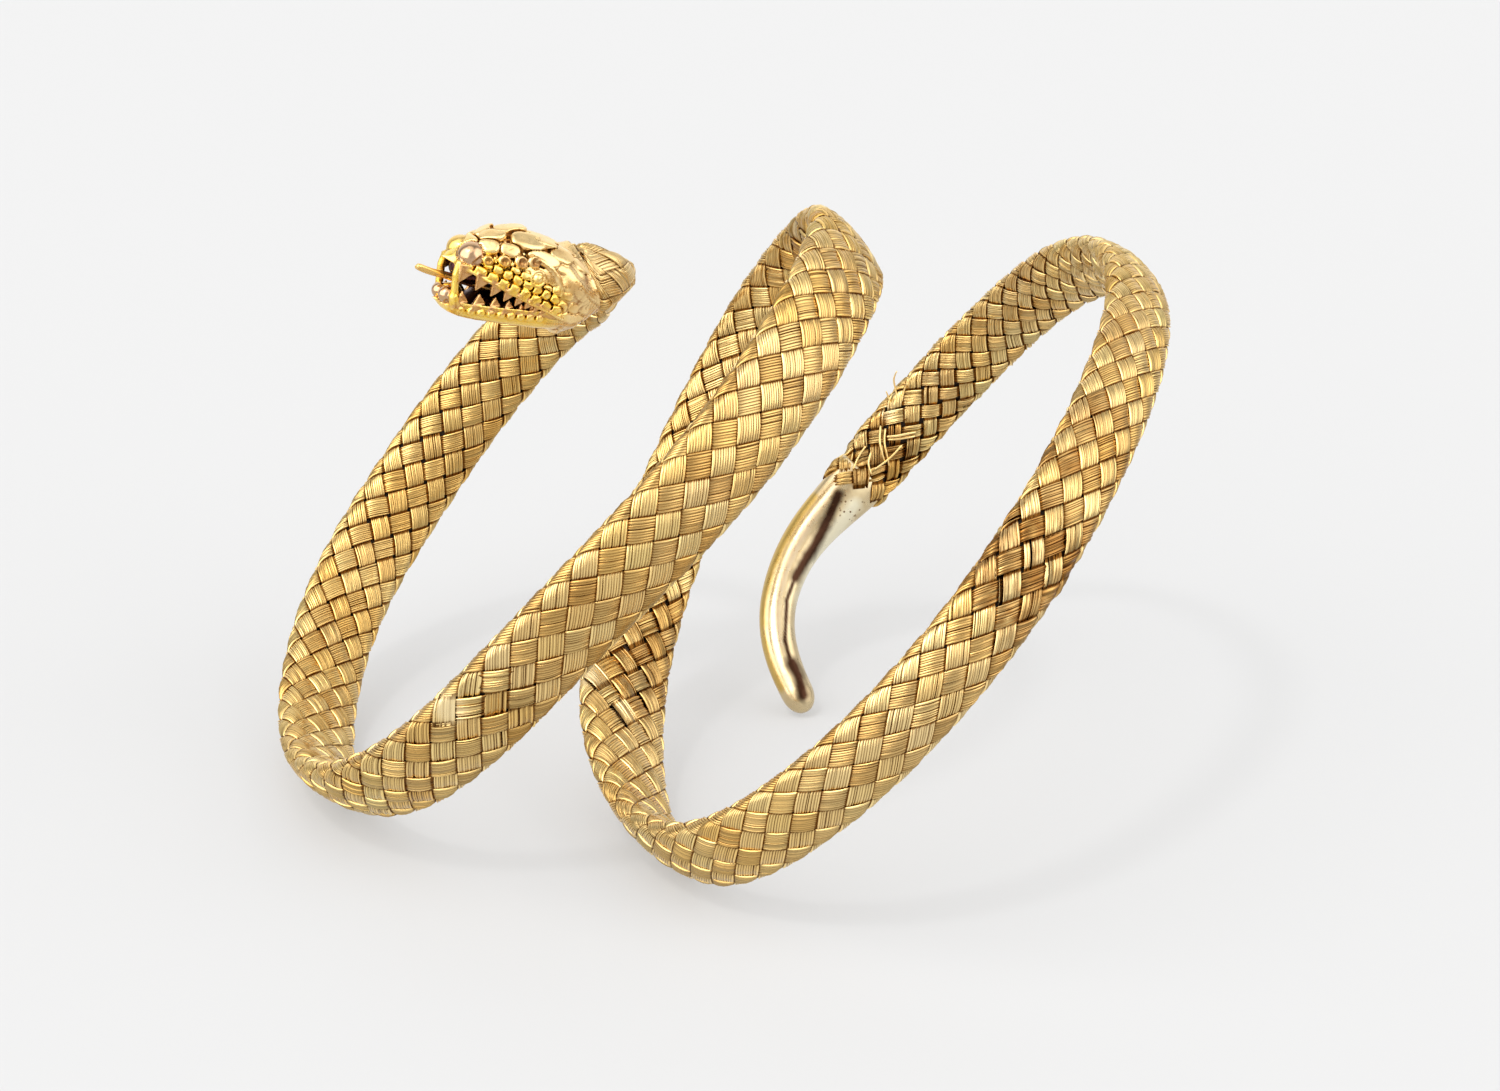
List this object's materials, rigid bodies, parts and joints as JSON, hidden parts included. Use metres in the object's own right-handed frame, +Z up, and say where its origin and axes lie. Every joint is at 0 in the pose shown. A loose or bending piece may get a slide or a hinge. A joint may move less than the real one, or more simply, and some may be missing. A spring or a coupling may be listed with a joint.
{
  "type": "snake bracelet",
  "caption": "Coiled snake bracelet of woven gold wire, with a cast open-mouthed head, a forked tongue and a polished tapering tail, worn sprung round a wrist.",
  "frame": {"origin": "middle of the bracelet's footprint, on the surface that it lies on", "axes": "+Z up, +X along the coil from the head's side to the tail's, which is its longest extent, +Y away from the side that the snout turns to"},
  "size_m": [0.0896, 0.0804, 0.0604],
  "materials": {
    "woven_gold": "fine drawn wires, woven, satin with tarnish in the gaps",
    "cast_gold": "cast and chased, soft gloss with dark recesses",
    "polished_gold": "polished, lightly worn"
  },
  "bodies": {
    "root": {"woven_body": "woven_gold", "snake_head": "cast_gold", "tongue": "polished_gold", "tail_tip": "polished_gold"}
  },
  "joints": []
}
